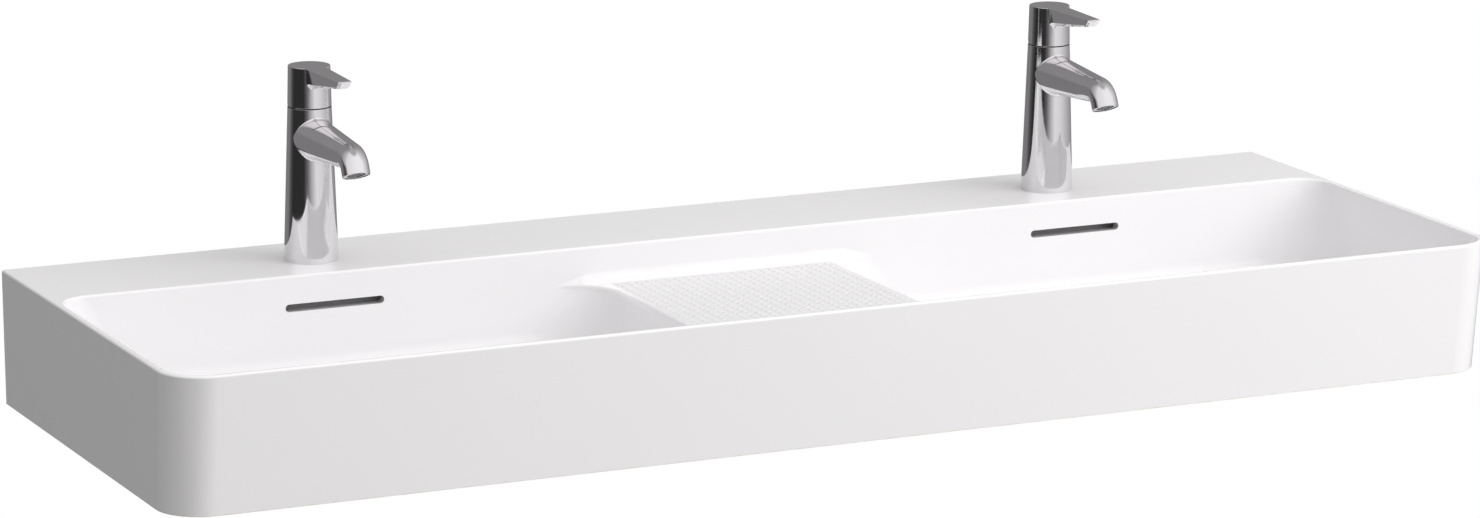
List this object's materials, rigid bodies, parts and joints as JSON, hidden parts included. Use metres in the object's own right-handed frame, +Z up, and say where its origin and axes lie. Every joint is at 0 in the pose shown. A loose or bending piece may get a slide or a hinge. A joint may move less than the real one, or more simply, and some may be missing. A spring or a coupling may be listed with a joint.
{
  "type": "double washbasin",
  "caption": "Wall-hung ceramic double washbasin with a raised middle shelf, single-lever mixer taps on the rear deck, overflow slots and push-open wastes.",
  "frame": {"origin": "on the wall plane and the centre line, at the height of the fixing holes", "axes": "+X along the wall to the right, +Y into the wall, +Z up"},
  "size_m": [1.2, 0.42, 0.3207],
  "materials": {
    "glazed_ceramic": "white glaze",
    "chrome": "polished chrome plate",
    "steel": "bright zinc-plated steel",
    "brass": "machined brass",
    "rubber": "black rubber",
    "white_plastic": "moulded",
    "grey_plastic": "moulded",
    "disc_ceramic": "lapped"
  },
  "bodies": {
    "basin": {"basin": "glazed_ceramic", "left_tap_body": "chrome", "left_base_seal": "rubber", "left_spout": "chrome", "left_aerator_shell": "chrome", "left_aerator_insert": "grey_plastic", "left_mounting_stud": "steel", "left_clamp_rubber": "rubber", "left_clamp_plate": "steel", "left_stud_nut": "brass", "left_cartridge_base": "white_plastic", "left_fixed_disc": "disc_ceramic", "left_cartridge_housing": "white_plastic", "left_retaining_nut": "brass", "left_flange_seal": "rubber", "left_waste_body": "chrome", "left_under_seal": "rubber", "left_back_nut": "brass", "left_latch_sleeve": "white_plastic", "right_tap_body": "chrome", "right_base_seal": "rubber", "right_spout": "chrome", "right_aerator_shell": "chrome", "right_aerator_insert": "grey_plastic", "right_mounting_stud": "steel", "right_clamp_rubber": "rubber", "right_clamp_plate": "steel", "right_stud_nut": "brass", "right_cartridge_base": "white_plastic", "right_fixed_disc": "disc_ceramic", "right_cartridge_housing": "white_plastic", "right_retaining_nut": "brass", "right_flange_seal": "rubber", "right_waste_body": "chrome", "right_under_seal": "rubber", "right_back_nut": "brass", "right_latch_sleeve": "white_plastic"},
    "left_swivel": {"left_rotor": "white_plastic", "left_pivot_pin": "steel"},
    "left_lever": {"left_handle": "chrome", "left_spindle": "steel", "left_handle_screw": "steel", "left_index_plug": "chrome"},
    "left_disc": {"left_moving_disc": "disc_ceramic", "left_disc_carriage": "white_plastic"},
    "left_plug": {"left_plug_cap": "chrome", "left_plug_seal": "rubber", "left_plug_stem": "brass"},
    "right_swivel": {"right_rotor": "white_plastic", "right_pivot_pin": "steel"},
    "right_lever": {"right_handle": "chrome", "right_spindle": "steel", "right_handle_screw": "steel", "right_index_plug": "chrome"},
    "right_disc": {"right_moving_disc": "disc_ceramic", "right_disc_carriage": "white_plastic"},
    "right_plug": {"right_plug_cap": "chrome", "right_plug_seal": "rubber", "right_plug_stem": "brass"}
  },
  "joints": [
    {"name": "left_lever_swivel", "type": "hinge", "parent": "basin", "child": "left_swivel", "pos_m": [-0.35, -0.066, 0.19145], "axis": [0, 0, 1], "range_deg": [-45, 45]},
    {"name": "left_lever_lift", "type": "hinge", "parent": "left_swivel", "child": "left_lever", "pos_m": [-0.35, -0.066, 0.19145], "axis": [-1, 0, 0], "range_deg": [0, 20]},
    {"name": "left_disc_slide", "type": "slide", "parent": "left_swivel", "child": "left_disc", "axis": [0, -1, 0], "range_m": [0, 0.00274]},
    {"name": "left_plug_rise", "type": "slide", "parent": "basin", "child": "left_plug", "axis": [0, 0, 1], "range_m": [0, 0.008]},
    {"name": "right_lever_swivel", "type": "hinge", "parent": "basin", "child": "right_swivel", "pos_m": [0.35, -0.066, 0.19145], "axis": [0, 0, 1], "range_deg": [-45, 45]},
    {"name": "right_lever_lift", "type": "hinge", "parent": "right_swivel", "child": "right_lever", "pos_m": [0.35, -0.066, 0.19145], "axis": [-1, 0, 0], "range_deg": [0, 20]},
    {"name": "right_disc_slide", "type": "slide", "parent": "right_swivel", "child": "right_disc", "axis": [0, -1, 0], "range_m": [0, 0.00274]},
    {"name": "right_plug_rise", "type": "slide", "parent": "basin", "child": "right_plug", "axis": [0, 0, 1], "range_m": [0, 0.008]}
  ],
  "couplings": [
    {"joint": "left_disc_slide", "follows": "left_lever_lift", "m_per_rad": 0.0078386},
    {"joint": "right_disc_slide", "follows": "right_lever_lift", "m_per_rad": 0.0078386}
  ]
}
